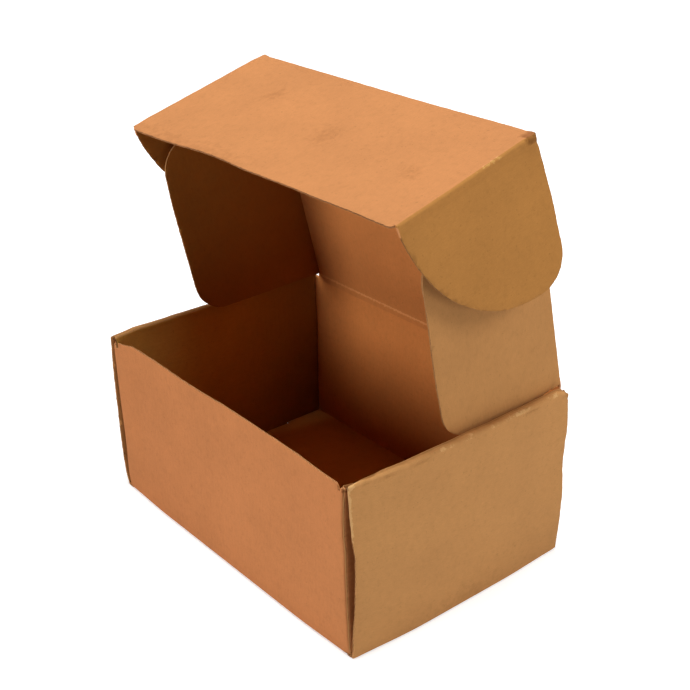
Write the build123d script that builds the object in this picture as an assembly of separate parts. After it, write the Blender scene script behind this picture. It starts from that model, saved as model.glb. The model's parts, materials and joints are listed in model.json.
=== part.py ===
from build123d import *
import math
import os

os.makedirs("parts", exist_ok=True)

# Corrugated mailer box with roll-over side walls and a tuck-in lid, propped half open.
# Millimetres, +Z up, +X to the right side wall, -Y to the front wall.
# The origin is the centre of the base, on the surface that the box stands on.

# Board
board = 1.5                    # thickness of the fine-flute board
fold_inner_radius = 0.3        # inside of a folded corner
layer_gap = 0.15               # air between two layers that lie face to face
cut_gap = 0.3                  # air between a cut edge and the panel that it meets

# Tray, measured over its outside
box_length = 241.0             # between the side walls, at their folds
box_depth = 166.0              # front wall to back wall
box_height = 114.0             # base to rim
side_bow = 2.6                 # how far the worn side walls belly out
side_bow_height = 0.4          # height of the belly, as a share of the wall
corner_flap_gap = 1.0          # air between a side wall and the corner flap behind it
corner_fold_radius = 1.0       # inside of the soft folds from the end walls to the corner flaps
corner_flap_length = 68.0
corner_flap_taper = 9.0        # how far a corner flap's edges draw in at its free end
relief_drop = 3.3              # notch at the wall ends that lets the rim strip pass
front_relief = 6.6             # length of that notch on the front wall
lock_tab_width = 28.0
lock_tab_taper = 2.0
lock_tab_spacing = 76.0        # between the centres of the two tabs of one side
slot_clearance = 0.3

# Lid
lid_angle = 75.5               # opening of the lid, where 0 is shut
ear_wall_clearance = 0.35      # ear to the inside of the side wall
flap_ear_clearance = 0.35      # lid side flap to the ear
tuck_wall_clearance = 0.6      # tuck flap to the inside of the front wall
crease_gap = 0.15              # air round the rounded edge that turns in a crease
crease_chamfer = 0.5           # crushed inner edge of the lid at the tuck crease
lid_edge_radius = 1.1          # outer rounding where a side flap leaves the lid

# Lid side flaps: along the lid from the hinge crease, and out from the lid
flap_start = 1.2               # distance of the flap from the hinge crease
flap_low_taper = 13.2          # degrees that bring the lower edge level with the rim
flap_low_reach = 95.7          # reach at the corner near the rim
flap_low_radius = 22.0
flap_end_margin = 4.2          # distance of the flap from the tuck crease
flap_high_taper = 12.9         # degrees
flap_high_reach = 90.8         # reach at the corner near the tuck flap
flap_high_radius = 18.0

# Tuck flap and its ears
tuck_angle = 91.0              # fold between the lid and the tuck flap
tuck_depth = 98.5
tuck_corner_radius = 3.0
ear_flare = 10.0               # degrees that the ears stand out from square
ear_start = 0.8                # distance of an ear from the lid's front crease
ear_length = 95.5              # along the ear's own crease
ear_reach = 79.5
ear_back_radius = 20.0

# What follows from the sizes above
half_length = box_length / 2
half_depth = box_depth / 2
fold_radius = fold_inner_radius + board
corner_face = half_length - board - corner_flap_gap      # outer face of the corner flaps
panel_outer_face = corner_face - board - layer_gap       # inner side panel, against the flap
panel_inner_face = panel_outer_face - board              # inner side panel, to the hollow
crease_back = board / 2 + crease_gap                     # crease line to the next panel's edge
ear_crease = panel_inner_face - ear_wall_clearance - board / 2
lid_half = ear_crease - board / 2 - flap_ear_clearance
tuck_half = ear_crease - crease_back
lid_length = box_depth - 2 * board - tuck_wall_clearance
hinge_y = half_depth - board / 2
hinge_z = box_height - board / 2
tab_centres = (-lock_tab_spacing / 2, lock_tab_spacing / 2)

# Section planes: x runs along Y or X of the box, y runs up
side_view = Plane(origin=(0, 0, 0), x_dir=(0, 1, 0), z_dir=(1, 0, 0))
front_view = Plane(origin=(0, 0, 0), x_dir=(1, 0, 0), z_dir=(0, -1, 0))


def block(x0, x1, y0, y1, z0, z1):
    """A block between two corners."""
    corner = (Align.MIN, Align.MIN, Align.MIN)
    return Pos(x0, y0, z0) * Box(x1 - x0, y1 - y0, z1 - z0, align=corner)


def both_sides(solid):
    """The solid and its twin on the other side of the box."""
    return [solid, mirror(solid, about=Plane.YZ)]


def rounded(face, corners, radius):
    """Rounds the corners of a flat face that lie at the given points."""
    picked = [
        v for v in face.vertices()
        if any(math.hypot(v.X - x, v.Y - y) < 1e-3 for x, y in corners)
    ]
    return fillet(picked, radius)


def outline(*points):
    return make_face(Polyline(*points, close=True))


# Tray: a side wall's outer panel, with its fold to the base and the strip over the rim
def outer_side_panel():
    x, z = half_length, box_height
    stub = x - 4 * board
    strip_end = panel_inner_face + fold_radius
    belly = z * side_bow_height
    face = make_face([
        Line((stub, 0), (x, 0)),
        Spline((x, 0), (x + side_bow, belly), (x, z)),
        Line((x, z), (strip_end, z)),
        Line((strip_end, z), (strip_end, z - board)),
        Line((strip_end, z - board), (x - board, z - board)),
        Spline((x - board, z - board), (x - board + side_bow, belly), (x - board, board)),
        Line((x - board, board), (stub, board)),
        Line((stub, board), (stub, 0)),
    ])
    face = rounded(face, [(x, 0), (x, z)], fold_radius)
    face = rounded(face, [(x - board, board), (x - board, z - board)], fold_inner_radius)
    return extrude(front_view * face, half_depth - cut_gap, both=True)


# Tray: the inner side panel hangs from the rim strip and ends in two tabs
def inner_side_panel():
    z, low = box_height, board + cut_gap
    strip = panel_outer_face + fold_radius
    face = outline(
        (panel_inner_face, low), (panel_inner_face, z), (strip, z),
        (strip, z - board), (panel_outer_face, z - board), (panel_outer_face, low),
    )
    face = rounded(face, [(panel_inner_face, z)], fold_radius)
    face = rounded(face, [(panel_outer_face, z - board)], fold_inner_radius)
    panel = extrude(front_view * face, half_depth - board - cut_gap, both=True)
    middle = Plane(
        origin=((panel_inner_face + panel_outer_face) / 2, 0, 0), x_dir=(0, 1, 0), z_dir=(1, 0, 0)
    )
    root = lock_tab_width / 2
    tip = root - lock_tab_taper
    for y in tab_centres:
        tab = outline(
            (y - root, low + board), (y - root, low), (y - tip, layer_gap),
            (y + tip, layer_gap), (y + root, low), (y + root, low + board),
        )
        panel += extrude(middle * tab, board / 2, both=True)
    return panel


# Tray: an end wall with the two corner flaps that fold round behind the side walls
def end_wall(top, relief):
    x, y = corner_face, -half_depth
    free_end = y + corner_flap_length
    bottom = board + cut_gap
    ring = outline(
        (-x, free_end), (-x, y), (x, y), (x, free_end), (x - board, free_end),
        (x - board, y + board), (board - x, y + board), (board - x, free_end),
    )
    outer_radius = corner_fold_radius + board
    inner_corners = [(x - board, y + board), (board - x, y + board)]
    ring = rounded(ring, [(-x, y), (x, y)], outer_radius)
    ring = rounded(ring, inner_corners, corner_fold_radius)
    wall = extrude(Pos(0, 0, bottom) * ring, top - bottom)

    # The flaps and the wall's ends stand lower than the rim strip that covers them
    flap_top = box_height - relief_drop
    for notch in both_sides(block(x - relief, x + 1, y - 1, free_end + 1, flap_top, top + 1)):
        wall -= notch

    # The flaps draw in towards their free ends
    start = y + outer_radius + board
    for edge, drop in ((flap_top, -corner_flap_taper), (bottom, corner_flap_taper)):
        beyond = edge - math.copysign(board, drop)
        wedge = outline(
            (start, beyond), (start, edge), (free_end, edge + drop),
            (free_end + 1, edge + drop), (free_end + 1, beyond),
        )
        wedge = extrude(side_view * wedge, x + 1) - block(0, x / 2, y, free_end + 2, 0, top)
        for cutter in both_sides(wedge):
            wall -= cutter
    return wall


def end_fold():
    """The fold between the base and the front wall."""
    y, up = -half_depth, 4 * board
    face = outline(
        (y + up, 0), (y, 0), (y, up), (y + board, up), (y + board, board), (y + up, board)
    )
    face = rounded(face, [(y, 0)], fold_radius)
    face = rounded(face, [(y + board, board)], fold_inner_radius)
    return extrude(side_view * face, corner_face - corner_fold_radius - 2 * board, both=True)


def tray():
    body = block(
        2 * board - half_length, half_length - 2 * board,
        2 * board - half_depth, half_depth - 2 * board, 0, board,
    )
    front = end_wall(box_height, front_relief) + end_fold()
    back = end_wall(hinge_z - crease_back, corner_face - lid_half - cut_gap) + end_fold()
    body += front
    body += mirror(back, about=Plane.XZ)
    for panel in both_sides(outer_side_panel()):
        body += panel

    # Slots in the base for the tabs
    for y in tab_centres:
        reach = lock_tab_width / 2 + slot_clearance
        slot = block(
            panel_inner_face - slot_clearance, panel_outer_face + slot_clearance,
            y - reach, y + reach, -board, board + cut_gap / 2,
        )
        for cutter in both_sides(slot):
            body -= cutter

    for panel in both_sides(inner_side_panel()):
        body += panel
    return body


# Frames of the panels at rest: x along the crease, y away from it, z through the board
def crosswise_frame(y, z, rise):
    """A panel whose crease runs across the box and which rises forward by an angle."""
    c, s = math.cos(math.radians(rise)), math.sin(math.radians(rise))
    return Plane(origin=(0, y, z), x_dir=(1, 0, 0), z_dir=(0, -s, -c))


across = Vector(1, 0, 0)
lid_frame = crosswise_frame(hinge_y, hinge_z, lid_angle)
tuck_origin = lid_frame.origin + lid_frame.y_dir * lid_length
tuck_frame = crosswise_frame(tuck_origin.Y, tuck_origin.Z, lid_angle - tuck_angle)
flap_frame = Plane(
    origin=lid_frame.origin + across * (lid_half - board) + lid_frame.z_dir * (board / 2),
    x_dir=lid_frame.y_dir,
    z_dir=across,
)
flare = math.radians(ear_flare)
ear_frame = Plane(
    origin=tuck_frame.origin + across * ear_crease,
    x_dir=tuck_frame.y_dir,
    z_dir=across * math.cos(flare) - tuck_frame.z_dir * math.sin(flare),
)


def creased_panel(frame, start, end, depth, end_chamfer=0):
    """A straight panel whose edge at the crease is round, so that it can turn there."""
    half = board / 2
    face = make_face([
        ThreePointArc((0, half), (-half, 0), (0, -half)),
        Line((0, -half), (depth, -half)),
        Line((depth, -half), (depth, half)),
        Line((depth, half), (0, half)),
    ])
    if end_chamfer:
        corner = [v for v in face.vertices() if v.X > depth - 1e-3 and v.Y > 0]
        face = chamfer(corner, end_chamfer)
    section = Plane(
        origin=frame.origin + frame.x_dir * start, x_dir=frame.y_dir, z_dir=frame.x_dir
    )
    return extrude(section * face, end - start)


def lid_panel():
    panel = creased_panel(
        lid_frame, -lid_half, lid_half, lid_length - crease_back, crease_chamfer
    )
    # Rounded outer edges, where the side flaps fold down
    half = board / 2
    corners = [(-lid_half, -half), (lid_half, -half)]
    section = outline(*corners, (lid_half, board), (-lid_half, board))
    section = rounded(section, corners, lid_edge_radius)
    along = Plane(
        origin=lid_frame.origin, x_dir=lid_frame.x_dir, z_dir=-lid_frame.y_dir
    )
    return panel & extrude(along * section, lid_length, both=True)


def lid_side_flap():
    """The right side flap. Its upper and lower edges taper towards each other."""
    low = math.tan(math.radians(flap_low_taper))
    high = math.tan(math.radians(flap_high_taper))
    top = lid_length - flap_end_margin
    low_corner = (flap_start + low * flap_low_reach, flap_low_reach)
    high_corner = (top - high * flap_high_reach, flap_high_reach)
    face = outline(
        (flap_start + low * crease_gap, crease_gap), low_corner,
        high_corner, (top - high * crease_gap, crease_gap),
    )
    face = rounded(face, [low_corner], flap_low_radius)
    face = rounded(face, [high_corner], flap_high_radius)
    return extrude(flap_frame * face, board)


def tuck_flap():
    panel = creased_panel(tuck_frame, -tuck_half, tuck_half, tuck_depth)
    corners = []
    for edge in panel.edges().filter_by(GeomType.LINE):
        middle = tuck_frame.to_local_coords(edge @ 0.5)
        if abs(middle.Y - tuck_depth) < 1e-3 and abs(middle.Z) < 1e-3:
            if abs(abs(middle.X) - tuck_half) < 1e-3:
                corners.append(edge)
    return fillet(corners, tuck_corner_radius)


def tuck_ear():
    """The right ear: a D with a straight back, a round back corner and a long curved front."""
    start, end = ear_start, ear_start + ear_length
    back = start + ear_back_radius
    shoulder = ear_reach - ear_back_radius
    turn = ear_back_radius * math.sqrt(0.5)
    sweep = EllipticalCenterArc(
        (back, 0), end - back, ear_reach, start_angle=0, arc_size=90
    )
    face = make_face([
        Line((start, -board), (end, -board)),
        Line((end, -board), (end, 0)),
        sweep,
        ThreePointArc((back, ear_reach), (back - turn, shoulder + turn), (start, shoulder)),
        Line((start, shoulder), (start, -board)),
    ])
    panel = creased_panel(ear_frame, start, end, ear_reach)
    return panel & extrude(ear_frame * face, board, both=True)


right_flap, left_flap = both_sides(lid_side_flap())
right_ear, left_ear = both_sides(tuck_ear())

pieces = {
    "tray": tray(),
    "lid_panel": lid_panel(),
    "lid_side_flap_right": right_flap,
    "lid_side_flap_left": left_flap,
    "tuck_flap": tuck_flap(),
    "tuck_ear_right": right_ear,
    "tuck_ear_left": left_ear,
}
for name, solid in pieces.items():
    export_step(solid, f"parts/{name}.step")
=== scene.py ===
import json
import math

import bmesh
import bpy
from mathutils import Matrix, Vector, noise
from mathutils.bvhtree import BVHTree


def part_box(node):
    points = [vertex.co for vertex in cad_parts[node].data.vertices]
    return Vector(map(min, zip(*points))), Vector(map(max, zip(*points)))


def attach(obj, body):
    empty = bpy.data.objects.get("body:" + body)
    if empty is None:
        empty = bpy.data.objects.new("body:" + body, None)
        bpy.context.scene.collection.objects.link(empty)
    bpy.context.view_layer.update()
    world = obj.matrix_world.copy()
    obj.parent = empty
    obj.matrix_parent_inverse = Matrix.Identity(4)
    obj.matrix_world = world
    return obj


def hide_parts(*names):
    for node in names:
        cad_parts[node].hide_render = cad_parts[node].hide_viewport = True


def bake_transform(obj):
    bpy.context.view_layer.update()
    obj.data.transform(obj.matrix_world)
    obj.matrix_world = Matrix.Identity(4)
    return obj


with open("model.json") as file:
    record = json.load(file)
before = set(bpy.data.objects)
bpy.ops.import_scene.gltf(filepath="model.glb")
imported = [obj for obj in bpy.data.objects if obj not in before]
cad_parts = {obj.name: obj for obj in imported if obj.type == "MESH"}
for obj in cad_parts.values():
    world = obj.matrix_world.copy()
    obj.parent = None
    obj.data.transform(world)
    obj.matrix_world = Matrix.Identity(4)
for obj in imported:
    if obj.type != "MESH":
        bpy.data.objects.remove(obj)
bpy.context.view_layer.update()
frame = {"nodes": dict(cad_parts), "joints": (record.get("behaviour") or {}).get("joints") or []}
scene = bpy.context.scene

ACROSS, BACK, UP = Vector((1, 0, 0)), Vector((0, 1, 0)), Vector((0, 0, 1))

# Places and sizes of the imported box, in metres
joints = {j["name"]: j for j in frame["joints"]}
HINGE = Vector(joints["lid_hinge"]["pos_m"])
TUCK_CREASE = Vector(joints["tuck_flap_fold"]["pos_m"])
EAR_CREASE_X = joints["ear_right_fold"]["pos_m"][0]
TRAY_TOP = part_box("tray")[1].z
HALF_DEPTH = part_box("tray")[1].y
LID_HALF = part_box("lid_panel")[1].x
TUCK_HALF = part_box("tuck_flap")[1].x
BOARD = 0.0015
LAYER_GAP = 0.00015
EAR_CLEARANCE = 0.00035
EAR_FLARE = math.radians(10.0)
PANEL_FACE = EAR_CREASE_X + EAR_CLEARANCE + BOARD / 2   # of the inner side panels, to the hollow
CORNER_FACE = PANEL_FACE + 2 * BOARD + LAYER_GAP        # of the corner flaps, to the side walls
SIDE_ZONE = PANEL_FACE - 0.0002                         # the side walls' layers lie beyond it
CORNER_FLAP_TOP = 0.1112                                # only rims and end walls reach higher
BOX_MIDDLE = Vector((0, 0, 0.08))

# Directions along the lid and the tuck flap from their creases, and to their inner sides
LID_WAY = (TUCK_CREASE - HINGE).normalized()
LID_LENGTH = (TUCK_CREASE - HINGE).length
TUCK_WAY = Vector(joints["ear_right_fold"]["axis"])
LID_IN = ACROSS.cross(LID_WAY)
TUCK_IN = ACROSS.cross(TUCK_WAY)

# Camera, fitted to the corners of the box in the photo: front right, from above
IMAGE_SIDE = 690
CAMERA_AZIMUTH, CAMERA_ELEVATION, CAMERA_ROLL = 50.251, 30.038, -0.353
CAMERA_DISTANCE = 0.74957
CAMERA_AIM = Vector((0.0, 0.0, 0.1))
CAMERA_SLIDE = (0.008666, -0.030577)
FOCAL_PIXELS, SHIFT_PIXELS = 1211.94, 85.0
SENSOR_WIDTH = 36

LAMP_AIM = Vector((0, 0, 0.14))
LAMP_DISTANCE = 1.6
LAMP_WIDTH = 0.7
# Name, degrees from the front towards the right, degrees above level, watts, tint
LAMPS = (
    ("lamp_front", -15, 17, 13.8, (0.98, 0.87, 0.83)),
    ("lamp_top", 0, 88, 19.2, (1.02, 1.08, 1.1)),
    ("lamp_right", 118, 38, 9.9, (1.0, 0.98, 0.96)),
    ("lamp_right_low", 100, 10, 4.4, (1.0, 0.98, 0.96)),
)

FLOOR_HALF, FLOOR_DROP = 3.0, 0.0003


def make_camera():
    """The photo's camera, with a small roll and shift."""
    a, e, r = (math.radians(x) for x in (CAMERA_AZIMUTH, CAMERA_ELEVATION, CAMERA_ROLL))
    ahead = Vector((-math.sin(a) * math.cos(e), math.cos(a) * math.cos(e), -math.sin(e)))
    level = Vector((math.cos(a), math.sin(a), 0))
    upright = level.cross(ahead)
    right = level * math.cos(r) + upright * math.sin(r)
    up = upright * math.cos(r) - level * math.sin(r)
    data = bpy.data.cameras.new("camera")
    data.sensor_width = SENSOR_WIDTH
    data.lens = FOCAL_PIXELS / IMAGE_SIDE * data.sensor_width
    data.shift_y = SHIFT_PIXELS / IMAGE_SIDE
    camera = bpy.data.objects.new("camera", data)
    scene.collection.objects.link(camera)
    place = CAMERA_AIM - ahead * CAMERA_DISTANCE + right * CAMERA_SLIDE[0] + up * CAMERA_SLIDE[1]
    turn = Matrix((right, up, -ahead)).transposed().to_4x4()
    camera.matrix_world = Matrix.Translation(place) @ turn
    scene.camera = camera


def make_lamps():
    """Soft round lamps that all face the box."""
    for name, azimuth, elevation, watts, tint in LAMPS:
        a, e = math.radians(azimuth), math.radians(elevation)
        towards = Vector((math.sin(a) * math.cos(e), -math.cos(a) * math.cos(e), math.sin(e)))
        data = bpy.data.lights.new(name, "AREA")
        data.shape = "DISK"
        data.size = LAMP_WIDTH
        data.energy = watts
        data.color = tint
        lamp = bpy.data.objects.new(name, data)
        scene.collection.objects.link(lamp)
        lamp.location = LAMP_AIM + towards * LAMP_DISTANCE
        lamp.rotation_mode = "QUATERNION"
        lamp.rotation_quaternion = towards.to_track_quat("Z", "Y")


class Nodes:
    """Short calls that build a node tree."""

    def __init__(self, tree):
        self.tree = tree
        tree.nodes.clear()

    def add(self, kind, inputs=(), **settings):
        node = self.tree.nodes.new(kind)
        for key, value in settings.items():
            setattr(node, key, value)
        for key, value in dict(inputs).items():
            self.put(node.inputs[key], value)
        return node

    def put(self, socket, value):
        if isinstance(value, bpy.types.NodeSocket):
            self.tree.links.new(value, socket)
        elif isinstance(value, bpy.types.Node):
            self.tree.links.new(value.outputs[0], socket)
        else:
            socket.default_value = value

    def math(self, operation, *values, clamp=False):
        inputs = dict(enumerate(values))
        return self.add("ShaderNodeMath", inputs, operation=operation, use_clamp=clamp)

    def mix(self, share, a, b, blend="MIX"):
        node = self.add("ShaderNodeMix", data_type="RGBA", blend_type=blend)
        self.put(node.inputs[0], share)
        self.put(node.inputs[6], a)
        self.put(node.inputs[7], b)
        return node.outputs[2]

    def noise(self, where, scale, detail=2.0, rough=0.5):
        inputs = {"Vector": where, "Scale": scale, "Detail": detail, "Roughness": rough}
        return self.add("ShaderNodeTexNoise", inputs, noise_type="FBM").outputs[0]

    def ramp(self, value, low, high, to_low=0.0, to_high=1.0):
        inputs = {
            "Value": value, "From Min": low, "From Max": high, "To Min": to_low, "To Max": to_high,
        }
        return self.add("ShaderNodeMapRange", inputs, clamp=True).outputs[0]


def make_surroundings():
    """A white backdrop that lights nothing, and a pale floor that keeps the shadow."""
    world = bpy.data.worlds.new("world")
    scene.world = world
    world.use_nodes = True
    n = Nodes(world.node_tree)
    path = n.add("ShaderNodeLightPath")
    seen = n.math("MAXIMUM", path.outputs["Is Camera Ray"], path.outputs["Is Glossy Ray"])
    seen = n.math("MAXIMUM", seen, path.outputs["Is Transmission Ray"])
    dim = n.add("ShaderNodeBackground", {"Color": (1, 1, 1, 1), "Strength": 0.0})
    white = n.add("ShaderNodeBackground", {"Color": (1, 1, 1, 1), "Strength": 1.0})
    mixed = n.add("ShaderNodeMixShader", {0: seen, 1: dim.outputs[0], 2: white.outputs[0]})
    n.add("ShaderNodeOutputWorld", {"Surface": mixed.outputs[0]})

    material = bpy.data.materials.new("floor_paper")
    material.use_nodes = True
    n = Nodes(material.node_tree)
    path = n.add("ShaderNodeLightPath")
    plain = n.add("ShaderNodeBsdfDiffuse", {"Color": (0.8, 0.8, 0.8, 1)})
    place = n.add("ShaderNodeTexCoord").outputs["Object"]
    away = n.add("ShaderNodeVectorMath", {0: place}, operation="LENGTH").outputs["Value"]
    strength = n.ramp(away, 0.2, 0.9, 0.55, 1.0)
    glow = n.add("ShaderNodeEmission", {"Color": (1, 1, 1, 1), "Strength": strength})
    lit = n.add("ShaderNodeAddShader", {0: plain.outputs[0], 1: glow.outputs[0]})
    mixed = n.add(
        "ShaderNodeMixShader",
        {0: path.outputs["Is Camera Ray"], 1: plain.outputs[0], 2: lit.outputs[0]},
    )
    n.add("ShaderNodeOutputMaterial", {"Surface": mixed.outputs[0]})
    mesh = bpy.data.meshes.new("floor")
    corners = [(x * FLOOR_HALF, y * FLOOR_HALF, 0) for x, y in ((-1, -1), (1, -1), (1, 1), (-1, 1))]
    mesh.from_pydata(corners, [], [(0, 1, 2, 3)])
    mesh.materials.append(material)
    floor = bpy.data.objects.new("floor", mesh)
    floor.location.z = -FLOOR_DROP
    scene.collection.objects.link(floor)


# Board colours, as linear light. The board is one kraft: TAN, FLAP_TAN and EAR_TAN on the faces towards the sides
# differ from SALMON partly as the liner's tone and partly as painted light, for how the lamps fall on the sides
SALMON = (0.56, 0.232, 0.083)
TAN = (0.52, 0.251, 0.085)
FLAP_TAN = (0.50, 0.237, 0.078)
# EAR_TAN is darker and yellower than TAN as painted shade, for the light from the floor that the ears lack
EAR_TAN = (0.445, 0.196, 0.047)
# Painted light and shade inside the box: each inner face as a lighter or darker copy of the tints above, as
# shares of them
LID_INSIDE = (1.1, 1.05, 0.84)
FLAP_INSIDE = (0.66, 0.54, 0.24)
EAR_INSIDE = (0.66, 0.54, 0.3)
WALL_INSIDE = (1.02, 1.03, 0.56)
BACK_INSIDE = (1.22, 1.17, 0.9)
FLOOR_INSIDE = (0.93, 0.94, 0.5)
DEEP_PAINTED_SHADE = (0.26, 0.34, 0.5)       # painted shade: what the foot of an inner wall lacks of its top's brightness
FAR_PAINTED_SHADE = 0.4                      # painted shade: what the far end of an inner side wall lacks
EDGE_SHADE = 0.72                   # a cut edge's share of its liner's tint
# Cut edges, with painted shadow between the flutes; scuffs and dirt, whose colours also give painted shade and a
# painted highlight
PULP = (0.78, 0.46, 0.20, 1)
FLUTE_SHADOW = (0.12, 0.05, 0.015, 1)
SCUFF_AND_HIGHLIGHT_SHARES = (1.35, 1.65, 2.0, 1)
DIRT_AND_SHADE_SHARES = (0.52, 0.45, 0.36, 1)
FLUTE_PITCH = 0.0033
MILLIMETRES = 1000                  # the charts that the material reads are in millimetres


def kraft_board():
    """Kraft liner with fibres and blotches, and cut edges that show the flutes."""
    material = bpy.data.materials.new("kraft_board")
    material.use_nodes = True
    n = Nodes(material.node_tree)
    place = n.add("ShaderNodeAttribute", attribute_name="place").outputs["Vector"]
    tint = n.add("ShaderNodeAttribute", attribute_name="tint").outputs["Color"]
    raw = n.add("ShaderNodeAttribute", attribute_name="raw").outputs["Fac"]
    opened = n.add("ShaderNodeAttribute", attribute_name="opened").outputs["Fac"]
    wear_and_painted_light = n.add("ShaderNodeAttribute", attribute_name="wear_and_painted_light").outputs["Fac"]
    chart = n.add("ShaderNodeUVMap", uv_map="chart").outputs[0]
    split = n.add("ShaderNodeSeparateXYZ", {0: chart})
    s, t = split.outputs[0], split.outputs[1]

    # Liner
    cloud = n.noise(place, 28.0, 3.0)
    mottle = n.noise(place, 260.0, 3.0, 0.6)
    grain = n.noise(place, 1500.0, 2.0, 0.7)
    thin, long = n.math("MULTIPLY", s, 1.6), n.math("MULTIPLY", t, 0.22)
    stretched = n.add("ShaderNodeCombineXYZ", {0: thin, 1: long})
    fibre = n.noise(stretched, 1.0, 4.0, 0.65)
    clouded, mottled = n.ramp(cloud, 0.3, 0.7, 0.95, 1.04), n.ramp(mottle, 0.3, 0.7, -0.03, 0.03)
    level = n.math("ADD", clouded, mottled)
    level = n.math("ADD", level, n.ramp(grain, 0.25, 0.75, -0.05, 0.05))
    level = n.math("ADD", level, n.ramp(fibre, 0.3, 0.7, -0.045, 0.045))
    fleck = n.ramp(n.noise(place, 700.0, 1.0, 0.3), 0.71, 0.78)
    level = n.math("SUBTRACT", level, n.math("MULTIPLY", fleck, 0.16))
    grey = n.add("ShaderNodeCombineXYZ", {0: level, 1: level, 2: level})
    liner = n.mix(1.0, tint, grey, "MULTIPLY")

    # Cut edge: two liners and the wave of the flutes between them
    turn = n.math("MULTIPLY", s, 2 * math.pi / (FLUTE_PITCH * MILLIMETRES))
    wave = n.math("MULTIPLY_ADD", n.math("SINE", turn), 0.33, 0.5)
    apart = n.math("ABSOLUTE", n.math("SUBTRACT", t, wave))
    web = n.ramp(apart, 0.09, 0.2, 1.0, 0.0)
    side = n.math("ABSOLUTE", n.math("SUBTRACT", t, 0.5))
    skin = n.ramp(side, 0.33, 0.42)
    solid = n.math("MAXIMUM", web, skin)
    along = n.ramp(n.noise(place, 900.0, 3.0, 0.7), 0.35, 0.65, 0.25, 0.9)
    shown = n.add("ShaderNodeMix", data_type="FLOAT")
    n.put(shown.inputs[0], opened)
    n.put(shown.inputs[2], n.math("MAXIMUM", along, skin))
    n.put(shown.inputs[3], solid)
    fray = n.math("MULTIPLY_ADD", n.ramp(mottle, 0.35, 0.65), 0.35, 0.1)
    shown = n.math("ADD", shown.outputs[0], fray, clamp=True)
    edge = n.mix(shown, FLUTE_SHADOW, n.mix(0.12, tint, PULP))
    colour = n.mix(raw, liner, edge)

    # Scuffs, where the pale pulp shows, and a painted highlight; dirty places, and painted shade in dents, in
    # gaps and on a crushed corner
    scuff_and_highlight = n.math("ADD", wear_and_painted_light, n.ramp(n.noise(place, 420.0, 3.0, 0.7), 0.3, 0.7, -0.5, 0.5))
    pale = n.ramp(scuff_and_highlight, 0.55, 0.85, 0.0, 0.7)
    colour = n.mix(pale, colour, n.mix(1.0, tint, SCUFF_AND_HIGHLIGHT_SHARES, "MULTIPLY"))
    soiled_and_shaded = n.ramp(n.math("ADD", wear_and_painted_light, n.ramp(mottle, 0.3, 0.7, -0.12, 0.12)), -0.05, -1.0)
    colour = n.mix(soiled_and_shaded, colour, n.mix(1.0, colour, DIRT_AND_SHADE_SHARES, "MULTIPLY"))

    # The flutes that show through the liner, and the roughness of paper and cut
    height = n.math("MULTIPLY", n.math("SINE", turn), n.math("MULTIPLY_ADD", raw, -0.35, 0.35))
    height = n.math("ADD", height, n.math("MULTIPLY", grain, 0.8))
    height = n.math("ADD", height, n.math("MULTIPLY", fibre, 0.6))
    height = n.math("ADD", height, n.math("MULTIPLY", n.math("MULTIPLY", shown, raw), 2.5))
    bump = n.add("ShaderNodeBump", {"Height": height, "Distance": 0.00006, "Strength": 0.7})
    shader = n.add("ShaderNodeBsdfPrincipled", {"Base Color": colour, "Normal": bump.outputs[0]})
    shader.inputs["Roughness"].default_value = 0.88
    shader.inputs["Specular IOR Level"].default_value = 0.18
    n.add("ShaderNodeOutputMaterial", {"Surface": shader.outputs[0]})
    return material


# A step below a face that stays within the board
JUST_INSIDE = 0.0003
# Cut edges are a little ragged, and the liners round off towards them
EDGE_TRIM, EDGE_FINE, EDGE_ROUGH = 0.0001, 0.00012, 0.00022
LINER_ROUND, LINER_UNEVEN = 0.00022, 0.00012
SHARP_ANGLE = math.radians(38)


def refined(node, grid, extra=()):
    """The node's mesh with its flat faces cut into a grid, and a tree of the solid as it was."""
    bm = bmesh.new()
    bm.from_mesh(frame["nodes"][node].data)
    bmesh.ops.remove_doubles(bm, verts=bm.verts[:], dist=1e-6)
    flat = math.radians(0.4)
    bmesh.ops.dissolve_limit(bm, angle_limit=flat, verts=bm.verts[:], edges=bm.edges[:])
    solid = BVHTree.FromBMesh(bm)
    planes = [(axis, height) for axis, heights in extra for height in heights]
    for axis, step, margin in grid:
        reach = [v.co.dot(axis) for v in bm.verts]
        low, high = min(reach) + margin, max(reach) - margin
        count = max(1, round((high - low) / step))
        planes += [(axis, low + (high - low) * k / count) for k in range(count + 1)]
    for axis, height in planes:
        everything = bm.verts[:] + bm.edges[:] + bm.faces[:]
        place = axis * height
        bmesh.ops.bisect_plane(bm, geom=everything, dist=1e-7, plane_co=place, plane_no=axis)
    return bm, solid


def is_cut(face, solid, folded):
    """Whether a face is a cut edge of the board, and not a liner."""
    centre = face.calc_center_median()
    if folded(centre):
        return False
    distance = solid.ray_cast(centre - face.normal * 2e-5, -face.normal)[3]
    return distance is None or distance > 1.5 * BOARD


def finer_edges(bm, solid, folded):
    """Divides the long borders between liners and cut edges."""
    cut = {f.index: is_cut(f, solid, folded) for f in bm.faces}
    for shortest, longest, cuts in ((0.0015, 0.0026, 1), (0.0026, 1.0, 2)):
        border = [
            e for e in bm.edges
            if len(e.link_faces) == 2
            and shortest < e.calc_length() <= longest
            and cut.get(e.link_faces[0].index) != cut.get(e.link_faces[1].index)
        ]
        bmesh.ops.subdivide_edges(bm, edges=border, cuts=cuts)
    bm.normal_update()


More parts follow.
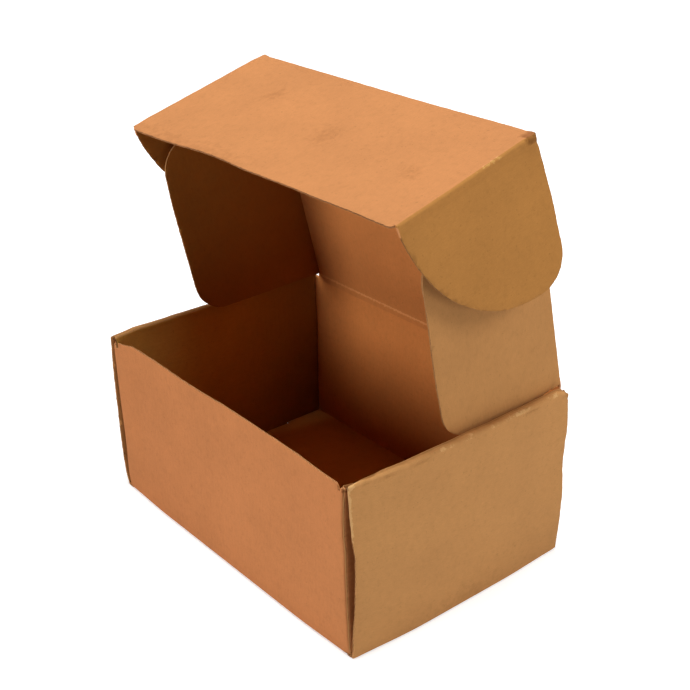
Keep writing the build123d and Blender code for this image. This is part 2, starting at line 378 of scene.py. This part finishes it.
def dress(name, body, nodes, bm, solid, look, warp, folded, marks):
    """Turns a refined mesh into a shown piece, with its warp and its charts."""
    bm.faces.ensure_lookup_table()
    chart = bm.loops.layers.uv.new("chart")
    raw, opened, tints = [], [], []
    pull, press = {}, {}
    for face in bm.faces:
        centre, normal = face.calc_center_median(), face.normal.copy()
        cut = is_cut(face, solid, folded)
        through, flute, tint = look(centre, normal, cut, solid)
        across = flute.cross(through)
        raw.append(float(cut))
        opened.append(abs(normal.dot(flute)) if cut else 0.0)
        tints.append(tint)
        inside = centre - normal * JUST_INSIDE
        below = solid.ray_cast(inside, -through)[3] if cut else 0.0
        for loop in face.loops:
            s = loop.vert.co.dot(across) * MILLIMETRES
            if cut:
                t = ((loop.vert.co - inside).dot(through) + (below or 0.0)) / BOARD
            else:
                t = loop.vert.co.dot(flute) * MILLIMETRES
            loop[chart].uv = (s, t)
            (pull if cut else press).setdefault(loop.vert, []).append(normal)
    places = [v.co.copy() for v in bm.verts]
    moves = [warp(v.co) for v in bm.verts]
    for v, move in zip(bm.verts, moves):
        if v in pull:
            way = sum(pull[v], Vector()) / len(pull[v])
            fine = noise.noise(v.co * 900) * EDGE_FINE + noise.noise(v.co * 260) * EDGE_ROUGH
            move = move + way * (fine - EDGE_TRIM)
            if v in press:
                way = sum(press[v], Vector()) / len(press[v])
                move -= way * (LINER_ROUND + LINER_UNEVEN * noise.noise(v.co * 300))
        v.co += move
    mesh = bpy.data.meshes.new(name)
    bm.to_mesh(mesh)
    bm.free()
    finish_mesh(mesh, places, raw, opened, tints, [marks(p) for p in places])
    piece = bpy.data.objects.new(name, mesh)
    scene.collection.objects.link(piece)
    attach(piece, body)
    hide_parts(*nodes)


def finish_mesh(mesh, places, raw, opened, tints, wear_and_painted_light):
    """Shading, material and the values that the material reads."""
    mesh.polygons.foreach_set("use_smooth", [True] * len(mesh.polygons))
    mesh.set_sharp_from_angle(angle=SHARP_ANGLE)
    for title, kind, domain, values in (
        ("raw", "FLOAT", "FACE", raw),
        ("opened", "FLOAT", "FACE", opened),
        ("wear_and_painted_light", "FLOAT", "POINT", wear_and_painted_light),
    ):
        mesh.attributes.new(title, kind, domain).data.foreach_set("value", values)
    flat = [x for p in places for x in p]
    mesh.attributes.new("place", "FLOAT_VECTOR", "POINT").data.foreach_set("vector", flat)
    flat = [x for t in tints for x in (*t, 1.0)]
    mesh.attributes.new("tint", "FLOAT_COLOR", "FACE").data.foreach_set("color", flat)
    mesh.materials.append(kraft)


def no_fold(p):
    """A piece without edges at a crease."""
    return False


def rise_between(value, low, high):
    """0 at low, 1 at high, with a smooth way between."""
    share = min(1.0, max(0.0, (value - low) / (high - low)))
    return share * share * (3 - 2 * share)


def faces_inside(centre, normal):
    """Whether a face looks into the box."""
    return normal.dot(BOX_MIDDLE - centre) > 0


def tray_look(centre, normal, cut, solid):
    """Thickness direction, flute direction and tint of a face of the tray."""
    if cut:
        inside = centre - normal * JUST_INSIDE
        best = None
        for axis in (ACROSS, BACK, UP):
            if abs(normal.dot(axis)) > 0.5:
                continue
            reach = [solid.ray_cast(inside, way)[3] or 1.0 for way in (axis, -axis)]
            if best is None or sum(reach) < best[0]:
                best = (sum(reach), axis)
        through = best[1]
    else:
        through = max((ACROSS, BACK, UP), key=lambda axis: abs(normal.dot(axis)))
    on_side = abs(centre.x) > SIDE_ZONE
    corner_flap = on_side and through == ACROSS and in_corner_flap(centre)
    # Faces towards the sides take TAN and the rest SALMON, partly as painted light
    tint = TAN if on_side and through != BACK and not corner_flap else SALMON
    # Painted light and shade on the faces inside the tray: lighter or darker copies of the tint, darker towards
    # the foot of the walls and towards the far end of the side walls
    if not cut and faces_inside(centre, normal) and abs(centre.x) < PANEL_FACE + 0.0001:
        if through == ACROSS:
            tint = shaded(tint, WALL_INSIDE)
        else:
            tint = shaded(tint, BACK_INSIDE if through == BACK else FLOOR_INSIDE)
        if through != UP:
            depth = 1 - rise_between(centre.z, 0.01, 0.095)
            tint = shaded(tint, [1 - loss * depth for loss in DEEP_PAINTED_SHADE])
        if through == ACROSS:
            far = rise_between(centre.y, 0.0, 0.07)
            tint = shaded(tint, [1 - FAR_PAINTED_SHADE * far] * 3)
    elif not cut and through == BACK and centre.y < 0:
        left = rise_between(-centre.x, 0.0, 0.1)
        tint = shaded(tint, (1 - 0.05 * left, 0.96 - 0.06 * left, 0.95 - 0.07 * left))
    return through, UP if through == BACK or corner_flap else BACK, tint


def in_corner_flap(p):
    """Whether a point lies between the two faces of a corner flap."""
    return CORNER_FACE - BOARD - 0.0001 < abs(p.x) < CORNER_FACE + 0.0001


def shaded(tint, shares):
    """A tint with each of its parts multiplied by a share."""
    return tuple(a * b for a, b in zip(tint, shares))


def panel_look(through, flute, tint, inside):
    """The look of a flap, with its inner side a lighter or darker copy of its tint, as painted light and shade.
    """
    inner = shaded(tint, inside)
    edge = [a * EDGE_SHADE for a in tint]

    def look(centre, normal, cut, solid):
        if cut:
            return through, flute, edge
        return through, flute, inner if faces_inside(centre, normal) else tint

    return look


def still(p):
    """A piece that doesn't warp."""
    return Vector()


kraft = kraft_board()


def ear_out(side):
    """The direction away from the box on an ear's outer face."""
    return ACROSS * (side * math.cos(EAR_FLARE)) - TUCK_IN * math.sin(EAR_FLARE)


def ear_down(side):
    """The direction along an ear from its crease."""
    return ear_out(side).cross(TUCK_WAY) * side


# Warp of the tuck flap, in metres
SKEW_AHEAD, SKEW_ASIDE = 0.0043, 0.0017
CREASE_LIFT = 0.0009
TAB_OUT, TAB_UP, TAB_CRUMPLE, LEFT_TIP_UP = 0.0017, 0.0005, 0.0007, 0.0010


def wave(out, u, v, size, amount, seed):
    """A gentle wave of a sheet, the same on both of its faces."""
    return out * (amount * noise.noise(Vector((u / size, v / size, seed))))


def tuck_skew(p):
    """The tuck flap's left end reaches a little further to the front and the left."""
    ahead = (p - TUCK_CREASE).dot(TUCK_WAY)
    share = rise_between(-p.x, 0.02, 0.112) * rise_between(ahead, 0.02, 0.1)
    end = rise_between(-p.x, 0.04, 0.112) * rise_between(ahead, 0.0, 0.035)
    return TUCK_WAY * (SKEW_AHEAD * share) - ACROSS * (SKEW_ASIDE * end)


def crease_lift(p):
    """The tuck crease stands a little higher at its right end."""
    offset = p - TUCK_CREASE
    share = rise_between(p.x, 0.02, 0.11) * (1 - rise_between(offset.dot(TUCK_WAY), 0.0, 0.07))
    return LID_WAY * (CREASE_LIFT * share * (1 - rise_between(offset.dot(TUCK_IN), 0.0, 0.06)))


def near_corner_tab(p):
    """1 on the tuck flap's crushed back right corner, 0 a few millimetres away from it."""
    offset = p - TUCK_CREASE
    share = rise_between(p.x, 0.109, 0.1112)
    share *= 1 - rise_between(offset.dot(TUCK_WAY), 0.004, 0.0075)
    return share * (1 - rise_between(offset.dot(TUCK_IN), 0.001, 0.005))


def corner_dent(p):
    """The crushed corner stands out a little, and the other one ends in a small raised tab."""
    offset = p - TUCK_CREASE
    up = TAB_UP + TAB_CRUMPLE * noise.noise(p * 330)
    move = (ACROSS * TAB_OUT - TUCK_IN * up) * near_corner_tab(p)
    tip = rise_between(-p.x, 0.1095, 0.112) * (1 - rise_between(offset.length - 0.112, 0.0, 0.006))
    near = 1 - rise_between(offset.dot(TUCK_IN), 0.0, 0.004)
    return crease_lift(p) + move - TUCK_IN * (LEFT_TIP_UP * tip * near)


# Faint smudges on the tuck flap's outside, as (place across, distance from the crease, radius)
SMUDGES = ((0.009, 0.052, 0.015), (-0.060, 0.033, 0.011), (0.083, 0.057, 0.012))


def stain_and_painted_shade(p):
    """Below 0 where the board is darker: painted shade on the crushed back right corner, faint smudges, and a
    darker band along the left half of the tuck flap's front edge.
    """
    # Painted shade on the crushed corner tab
    value = -0.8 * rise_between(near_corner_tab(p), 0.2, 0.5)
    offset = p - TUCK_CREASE
    ahead = offset.dot(TUCK_WAY)
    if offset.dot(TUCK_IN) > 0 or abs(p.x) > TUCK_HALF:
        return value
    for across, distance, radius in SMUDGES:
        away = math.hypot(p.x - across, ahead - distance)
        value -= 0.19 * (1 - rise_between(away, 0.2 * radius, radius))
    # Darker along the left half of the tuck flap's front edge
    return value - 0.16 * rise_between(ahead, 0.086, 0.095) * (1 - rise_between(p.x, -0.025, 0.0))


def lid_warp(p):
    """The lid's main panel waves a little between its creases."""
    v = (p - HINGE).dot(LID_WAY)
    fade = rise_between(v, 0.003, 0.03) * rise_between(LID_LENGTH - v, 0.003, 0.03)
    fade *= rise_between(LID_HALF - abs(p.x), 0.003, 0.03)
    return wave(LID_IN, p.x, v, 0.055, 0.0012 * fade, 3.1) + corner_dent(p)


def tuck_warp(p):
    """The tuck flap waves a little and is skewed."""
    v = (p - TUCK_CREASE).dot(TUCK_WAY)
    fade = rise_between(v, 0.003, 0.03) * rise_between(TUCK_HALF - abs(p.x), 0.003, 0.03)
    return wave(TUCK_IN, p.x, v, 0.05, 0.0014 * fade, 8.7) + tuck_skew(p) + corner_dent(p)


def ear_warp(side):
    """An ear bellies out a little, and its back or front edge is a little off."""
    out, down = ear_out(side), ear_down(side)
    crease = TUCK_CREASE + ACROSS * (side * EAR_CREASE_X)

    def warp(p):
        u, v = (p - crease).dot(TUCK_WAY), (p - crease).dot(down)
        fade = rise_between(v, 0.003, 0.03)
        sway = wave(out, u, v, 0.04, 0.0011 * fade, 5.3 + side) + out * (0.0005 * fade)
        if side > 0:
            back = rise_between(v, 0.0, 0.008) * (1 - rise_between(v, 0.03, 0.058))
            slide = -0.0018 * back * (1 - rise_between(u, 0.004, 0.035))
        else:
            slide = -0.0024 * rise_between(v, 0.0, 0.03) * rise_between(u, 0.02, 0.09)
        return sway + tuck_skew(p) + corner_dent(p) + TUCK_WAY * slide

    return warp


def flap_warp(side):
    """The right flap is cut a little short and hangs a little lower than the left one."""
    short, drop = (0.0058, 0.0017) if side > 0 else (0.0, 0.0)

    def warp(p):
        u, v = (p - HINGE).dot(LID_WAY), (p - HINGE).dot(LID_IN)
        fade = rise_between(v, 0.004, 0.04)
        share = rise_between(v, 0.0, 0.095)
        move = wave(ACROSS * side, u, v, 0.045, 0.0012 * fade, 1.9 + side)
        move -= ACROSS * (side * 0.0005 * fade)
        if side < 0:
            long = rise_between(v, 0.05, 0.095) * rise_between(u, 0.018, 0.05)
            move += LID_IN * (0.0019 * (long * (1 - rise_between(u, 0.1, 0.15))))
        lower = share + 1.6 * rise_between(v, 0.004, 0.02)
        return move - LID_IN * (short * share) - LID_WAY * (drop * lower)

    return warp


def make_tray():
    """The tray's board, with a finer grid near the worn front corners."""
    grid = ((ACROSS, 0.004, 0.012), (BACK, 0.004, 0.004), (UP, 0.004, 0.005))
    near_corner = (
        (ACROSS, (-0.1135, -0.111, 0.1105, 0.1125, 0.1145)),
        (BACK, (-0.081, -0.077, -0.075, -0.073)),
        (UP, (0.1045, 0.107, 0.108, 0.110, 0.1112)),
    )
    bm, solid = refined("tray", grid, near_corner)
    finer_edges(bm, solid, no_fold)
    dress("tray_board", "tray", ["tray"], bm, solid, tray_look, tray_warp, no_fold, tray_wear_and_painted_shade)


def make_panel(node, through, flute, other, tint, inside, warp, folded):
    """The board of the lid's main panel or of one flap."""
    bm, solid = refined(node, ((flute, 0.003, 0.002), (other, 0.003, 0.002)))
    finer_edges(bm, solid, folded)
    look = panel_look(through, flute, tint, inside)
    dress(node + "_board", node, [node], bm, solid, look, warp, folded, stain_and_painted_shade)


def make_panels():
    """The lid's six panels, whose edges at a crease are folds and not cuts."""
    def lid_fold(p):
        return (p - HINGE).dot(LID_WAY) < BOARD or abs(p.x) > LID_HALF - 0.0013

    def tuck_fold(p):
        return (p - TUCK_CREASE).dot(TUCK_WAY) < BOARD

    def flap_fold(p):
        return (p - HINGE).dot(LID_IN) < BOARD

    def ear_fold(p):
        side = math.copysign(1, p.x)
        return (p - TUCK_CREASE - ACROSS * (side * EAR_CREASE_X)).dot(ear_down(side)) < BOARD

    make_panel("lid_panel", LID_IN, LID_WAY, ACROSS, SALMON, LID_INSIDE, lid_warp, lid_fold)
    make_panel("tuck_flap", TUCK_IN, TUCK_WAY, ACROSS, SALMON, LID_INSIDE, tuck_warp, tuck_fold)
    for side, word in ((1, "right"), (-1, "left")):
        make_panel(
            "lid_side_flap_" + word, ACROSS, LID_WAY, LID_IN,
            FLAP_TAN, FLAP_INSIDE, flap_warp(side), flap_fold,
        )
        make_panel(
            "tuck_ear_" + word, ear_out(side), TUCK_WAY, ear_down(side),
            EAR_TAN, EAR_INSIDE, ear_warp(side), ear_fold,
        )


def along_list(pairs, value):
    """The value between listed (place, value) pairs, with a smooth way between them."""
    for (p0, v0), (p1, v1) in zip(pairs, pairs[1:]):
        if value <= p1:
            return v0 + (v1 - v0) * rise_between(value, p0, p1)
    return pairs[-1][1]


# Worn side walls, fitted to the photo: how far they stand out of line at their ends, as (height, shift) in metres
RIGHT_FRONT = (
    (0.0, -0.0015), (0.018, -0.0024), (0.038, -0.0019), (0.056, -0.0018), (0.068, -0.0021),
    (0.08, -0.0039), (0.098, -0.0052), (0.114, -0.0054),
)
RIGHT_BACK = ((0.0, 0.0), (0.038, -0.001), (0.065, -0.0033), (0.095, -0.0018), (0.114, -0.0018))
LEFT_FRONT = ((0.0, 0.0005), (0.012, -0.001), (0.034, -0.0006), (0.079, -0.0021), (0.114, -0.0026))
# The same for the front wall's right end, which draws the layers behind the side wall along
FRONT_END = (
    (0.0, -0.0012), (0.007, -0.0028), (0.016, -0.0035), (0.036, -0.0046), (0.056, -0.0055),
    (0.069, -0.0058), (0.079, -0.007), (0.089, -0.0073), (0.1105, -0.0068), (0.114, -0.0088),
)
# How far the inner layers of the right side wall can follow it inward
INNER_GIVE = -0.0018
# The worn ends of the right rim, and the dents below it as (place along, height)
RIM_CORNER = Vector((0.1185, -0.0825, 0.1125))
BACK_CORNER = Vector((0.1195, 0.0825, 0.1125))
BRUISES = ((-0.058, 0.1117), (-0.038, 0.1117), (0.05, 0.1112))


def near_front(y):
    """1 at the front end of a side wall, 0 on its rear half."""
    return min(1.0, max(0.0, (-0.02 - y) / (HALF_DEPTH - 0.02))) ** 2


def bottom_bulge(z, inset):
    """1 at the bottom edge of a wall, away from its ends."""
    return (1 - rise_between(z, 0.0, 0.05)) * rise_between(inset, 0.0, 0.05)


def side_wall_warp(p):
    """How a point of a side wall, its rim, its inner panel or a corner flap moves.

    noise_vector takes its offsets from the clock, as no seed is set, so the fine dents of the
    rims differ from run to run by up to a millimetre. Everything else here is the same each run.
    """
    x, y, z = p
    side = math.copysign(1, x)
    near_back = rise_between(y, 0.03, HALF_DEPTH)
    outer = rise_between(abs(x), CORNER_FACE, CORNER_FACE + 0.001)
    if z > TRAY_TOP - BOARD:
        outer = rise_between(abs(x), PANEL_FACE, CORNER_FACE + 0.0025)
    retreat = 0.0
    if x > 0:
        wall = along_list(RIGHT_FRONT, z) * near_front(y)
        if in_corner_flap(p) and z < CORNER_FLAP_TOP:
            drawn = 1 - rise_between(y, -0.0785, -0.069)
            inner = max(wall, INNER_GIVE) + (along_list(FRONT_END, z) - INNER_GIVE) * drawn
        else:
            retreat = 0.0115 * (1 - outer) * (1 - rise_between(y, -0.0812, -0.055))
            inner = max(along_list(RIGHT_FRONT, z) * near_front(y + retreat), INNER_GIVE)
        shift = wall * outer + inner * (1 - outer) + along_list(RIGHT_BACK, z) * near_back
        shift += 0.0016 * outer * bottom_bulge(z, HALF_DEPTH - abs(y))
    else:
        shift = along_list(LEFT_FRONT, z) * near_front(y)
    move = ACROSS * shift + BACK * retreat
    fade = rise_between(z, 0.004, 0.03) * rise_between(TRAY_TOP - z, 0.002, 0.02)
    move += wave(ACROSS, y, z, 0.04, 0.0012 * fade * (0.3 + 0.7 * outer), 4.4 + side)
    if in_corner_flap(p):
        move -= UP * corner_drop(p)
    move -= UP * rim_drop(p)
    if x > 0:
        crushed = near_back_corner(p)
        amount = 0.0007 * near_rim_corner(p) + 0.0011 * crushed
        crumple = Vector(noise.noise_vector(p * 420)) * amount
        move += crumple - ACROSS * (0.0005 * bruises(p)) - UP * (0.0028 * crushed)
    else:
        inner = 1 - rise_between(-x, PANEL_FACE, CORNER_FACE + 0.002)
        move -= ACROSS * (0.0016 * inner * rise_between(z, 0.07, TRAY_TOP))
    fold_edge = rise_between(abs(x), CORNER_FACE, CORNER_FACE + 0.0025)
    fold_edge *= rise_between(z, 0.1085, 0.1125)
    move += Vector(noise.noise_vector(p * 150)) * (0.0005 * fold_edge)
    rim = rise_between(z, TRAY_TOP - 0.012, TRAY_TOP)
    move += wave(ACROSS, y, 0.0, 0.022, 0.0008 * rim, 9.2 + side)
    return move + wave(UP, y, 0.0, 0.02, 0.0005 * rim, 2.2 + side)


def corner_drop(p):
    """The front folds end a little lower than the wall between them."""
    if abs(p.x) < 0.111 or p.z > CORNER_FLAP_TOP:
        return 0.0
    if p.y > -0.0814 and not in_corner_flap(p):
        return 0.0
    depth = (0.0008 if p.x > 0 else 0.0014) * rise_between(abs(p.x), 0.1112, 0.1138)
    return depth * rise_between(p.z, 0.098, 0.1107) * (1 - rise_between(p.y, -0.079, -0.066))


def rim_drop(p):
    """The front wall sags a little, most at its ends, and the rims beside it follow."""
    x, y, z = p
    if y < -HALF_DEPTH + 0.01 and abs(x) < PANEL_FACE:
        sag = 0.0009 + 0.0025 * rise_between(x, 0.045, 0.105)
        sag += 0.0032 * rise_between(-x, 0.096, 0.111)
    elif x > 0:
        sag = 0.0012 * (1 - rise_between(y, -0.06, -0.02))
    else:
        sag = 0.0020 * (1 - rise_between(y, -0.083, -0.062))
    return sag * rise_between(z, 0.06, 0.112)


def near_rim_corner(p):
    """1 at the torn front end of the right rim, 0 four and a half millimetres from it."""
    return 1 - rise_between((p - RIM_CORNER).length, 0.0012, 0.0045)


def near_back_corner(p):
    """1 at the crushed back end of the right rim, 0 seven millimetres from it."""
    return 1 - rise_between((p - BACK_CORNER).length, 0.001, 0.007)


def bruises(p):
    """Dents under the right rim, as 0 to 1."""
    if p.x < CORNER_FACE + 0.001:
        return 0.0
    depth = 0.0
    for y, z in BRUISES:
        low = 1 - rise_between(abs(p.z - z), 0.0003, 0.0016)
        depth = max(depth, low * (1 - rise_between(abs(p.y - y), 0.001, 0.009)))
    return depth


def tray_wear_and_painted_shade(p):
    """Above 0 where the board is scuffed, below 0 where it is darker: painted shade in the dents under the rim,
    in the gap behind the right side wall's front edge and in the notches at the front corners, and darker at the
    crushed back end of the rim and towards the foot of the right wall.
    """
    value = 1.4 * near_rim_corner(p) * rise_between(p.x, 0.1165, 0.1185)
    # Painted shade in the dents under the rim, and darker at the crushed back end of the rim
    value = value - 0.42 * bruises(p) - 0.5 * near_back_corner(p)
    if p.x > CORNER_FACE + 0.0008:
        if p.y < -HALF_DEPTH + 0.0008:
            value += 1.1 * rise_between(p.z, 0.07, 0.09)
        # Darker towards the foot of the wall's outer face, around its middle
        foot = 1 - rise_between(p.z, 0.0, 0.02)
        value -= 0.16 * foot * (1 - rise_between(abs(p.y + 0.003), 0.012, 0.045))
    # Painted shade on the corner flap, deeper in the gap behind the side wall's front edge
    if p.x > 0 and in_corner_flap(p):
        value -= 0.7 * rise_between(p.y, -0.0825, -0.0785)
    if p.z > TRAY_TOP - 0.002 and abs(p.x) > PANEL_FACE + 0.002:
        value += 0.2 + 0.8 * noise.noise(p * 110)
    # Painted shade on the top of the corner flaps, down in the notches at the front corners
    if in_corner_flap(p) and p.z > 0.1085 and p.y < -0.07:
        value -= 0.9
    return value


def tray_warp(p):
    """How a point of the tray moves."""
    x, y, z = p
    in_front_wall = y <= -HALF_DEPTH + 0.003 and abs(x) <= CORNER_FACE + 0.0003
    if abs(x) > SIDE_ZONE and (not in_front_wall or z > CORNER_FLAP_TOP):
        return side_wall_warp(p)
    move = Vector()
    if y < -HALF_DEPTH + 0.01:
        fade = rise_between(z, 0.004, 0.03) * rise_between(CORNER_FACE - abs(x), 0.004, 0.03)
        move += wave(BACK, x, z, 0.06, 0.0016 * fade, 6.6)
        bulge = bottom_bulge(z, CORNER_FACE - abs(x))
        move -= BACK * (0.0013 * bulge * (1 - rise_between(y, -0.083, -0.078)))
        end = along_list(FRONT_END, z)
        end *= 0.63 * rise_between(x, 0.02, 0.112) + 0.37 * rise_between(x, 0.1105, 0.1155)
        move -= UP * (corner_drop(p) + rim_drop(p))
        if x < -0.1:
            end = along_list(LEFT_FRONT, z) * rise_between(-x, 0.1, 0.116)
        move += ACROSS * end
    if y > HALF_DEPTH - 0.003:
        fade = rise_between(z, 0.004, 0.03) * rise_between(CORNER_FACE - abs(x), 0.004, 0.03)
        fade *= rise_between(TRAY_TOP - z, 0.003, 0.03)
        move += wave(BACK, x, z, 0.06, 0.0012 * fade, 7.6)
        if x > 0.1:
            move += ACROSS * (along_list(RIGHT_BACK, z) * rise_between(x, 0.1, 0.116))
    return move


# Steps along each leg of a fold's section and round its outer arc, and from section to section
FOLD_STEPS, ARC_STEPS = 7, 8
STATION_STEP = 0.0012
LEG_SUNK, CORNER_PRESS = 0.00006, 0.00025


def fold_section(away_a, away_b, out_a, out_b, outer, inner, bulge, span, radius):
    """Points round the section of a folded strip, from the crease, with outer ones first."""
    middle = (out_a + out_b).normalized()
    cosine = out_a.dot(middle)
    centre = middle * ((outer + bulge - radius) / cosine)
    tangent = max(0.0, centre.dot(away_a))

    def side(away, out, height, pad, near, sign):
        points = []
        for k in range(FOLD_STEPS):
            s = span + (near - span) * k / FOLD_STEPS
            share = rise_between(span - s, 0.0, span - near)
            rise = height - LEG_SUNK + (pad + LEG_SUNK) * share
            points.append(away * s + out * (sign * rise))
        return points

    points = side(away_a, out_a, outer, bulge, tangent, 1)
    for k in range(ARC_STEPS + 1):
        way = out_a.slerp(out_b, k / ARC_STEPS) if cosine < 0.9999 else out_a
        points.append(centre + way * radius)
    points += reversed(side(away_b, out_b, outer, bulge, tangent, 1))
    outer_count = len(points)
    corner = middle * (-(inner + CORNER_PRESS) / cosine)
    near = max(0.0, corner.dot(away_a)) + 0.0002
    points += side(away_b, out_b, inner, CORNER_PRESS, near, -1)
    points.append(corner + middle * 0.0001)
    points += reversed(side(away_a, out_a, inner, CORNER_PRESS, near, -1))
    return points, outer_count


def fold_cover(name, crease, along, low, high, section, tints, warp, marks, ridge_highlight=0.0):
    """The folded board over a crease."""
    away_a, away_b, out_a, out_b, outer, inner, bulge, span, radius = section
    stations = max(2, round((high - low) / STATION_STEP))
    rings, wear_and_painted_light, places = [], [], []
    for k in range(stations + 1):
        u = low + (high - low) * k / stations
        at_end = rise_between(min(u - low, high - u), 0.0, 0.008)
        rough = noise.noise(Vector((u * 160, 3.3, len(name))))
        swell = bulge * (0.25 + 0.75 * at_end) * (1 + 0.25 * rough)
        points, count = fold_section(
            away_a, away_b, out_a, out_b, outer, inner, swell, span, radius,
        )
        ring = [crease + along * u + q for q in points]
        rings.append(ring)
        for i, q in enumerate(ring):
            on_fold = 1 - min(1.0, (points[i] - points[count // 2]).length / 0.0022)
            scuffed = marks(u) * on_fold * (0.55 + 0.9 * noise.noise(Vector((u * 95, 0.0, 7.7))))
            # Painted highlight along the inner ridge of the fold, scaled by the last argument
            far = (points[i] - points[count + FOLD_STEPS]).length
            on_ridge = 1 - rise_between(far, 0.0, 0.0018) if i >= count else 0.0
            wear_and_painted_light.append(scuffed + stain_and_painted_shade(q) + ridge_highlight * on_ridge)
            places.append(q.copy())
    size = len(rings[0])
    faces, cut, colours = [], [], []
    across = along.cross((out_a + out_b).normalized())
    for k in range(stations):
        for i in range(size):
            j = (i + 1) % size
            faces.append((k * size + i, (k + 1) * size + i, (k + 1) * size + j, k * size + j))
            cut.append(0.0)
            near_a = i < count // 2 - 2 or i > size - 2 - FOLD_STEPS
            colours.append(tints[(2 if i >= count - 1 else 0) + (0 if near_a else 1)])
    for k, order in ((0, 1), (stations, -1)):
        faces.append(tuple(k * size + i for i in range(size))[::order])
        cut.append(1.0)
        colours.append(tints[0])
    vertices = [q + warp(q) for q in places]
    mesh = bpy.data.meshes.new(name)
    mesh.from_pydata(vertices, [], faces)
    bm = bmesh.new()
    bm.from_mesh(mesh)
    bmesh.ops.recalc_face_normals(bm, faces=bm.faces[:])
    chart = bm.loops.layers.uv.new("chart")
    for face in bm.faces:
        for loop in face.loops:
            co = loop.vert.co
            loop[chart].uv = (co.dot(across) * MILLIMETRES, co.dot(along) * MILLIMETRES)
    bm.to_mesh(mesh)
    bm.free()
    finish_mesh(mesh, places, cut, cut, colours, wear_and_painted_light)
    piece = bpy.data.objects.new(name, mesh)
    scene.collection.objects.link(piece)
    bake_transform(piece)


def fold_warp(p):
    """How the creases round the tuck flap follow it."""
    return tuck_skew(p) + corner_dent(p)


def ear_crease_wear(u):
    """The ears' creases are rubbed pale from two to five centimetres from the lid."""
    return 0.35 + 1.1 * rise_between(u, 0.018, 0.026) * (1 - rise_between(u, 0.045, 0.058))


def make_folds():
    """The six creases that turn."""
    half = BOARD / 2
    level = (half, half)
    lid_inner = shaded(SALMON, LID_INSIDE)
    # The hinge's inner ridge gets a painted highlight, the last argument
    fold_cover(
        "hinge_fold", HINGE, ACROSS, -LID_HALF, LID_HALF,
        (-UP, LID_WAY, BACK, -LID_IN, *level, 0.0003, 0.006, 0.0012),
        (SALMON, SALMON, lid_inner, lid_inner), still, lambda u: 0.3, 1.25,
    )
    fold_cover(
        "tuck_fold", TUCK_CREASE, ACROSS, -TUCK_HALF, TUCK_HALF,
        (-LID_WAY, TUCK_WAY, -LID_IN, -TUCK_IN, *level, 0.0004, 0.006, 0.0018),
        (SALMON, SALMON, lid_inner, lid_inner), fold_warp, lambda u: 0.35,
    )
    for side, word in ((1, "right"), (-1, "left")):
        over = ACROSS * side
        crease = TUCK_CREASE + over * EAR_CREASE_X
        fold_cover(
            "ear_fold_" + word, crease, TUCK_WAY, 0.0009, 0.0962,
            (-over, ear_down(side), -TUCK_IN, ear_out(side), *level, 0.00045, 0.006, 0.0019),
            (SALMON, EAR_TAN, lid_inner, shaded(EAR_TAN, EAR_INSIDE)), fold_warp,
            ear_crease_wear,
        )
        crease = HINGE + over * (LID_HALF - BOARD) + LID_IN * half
        fold_cover(
            "side_flap_fold_" + word, crease, LID_WAY,
            0.0018, LID_LENGTH - 0.0048,
            (-over, LID_IN, -LID_IN, over, BOARD, 0.0, 0.0003, 0.006, 0.0014),
            (SALMON, FLAP_TAN, lid_inner, shaded(FLAP_TAN, FLAP_INSIDE)), still, lambda u: 0.4,
        )


make_tray()
make_panels()
make_folds()

scene.view_settings.view_transform = "Standard"
make_camera()
make_lamps()
make_surroundings()
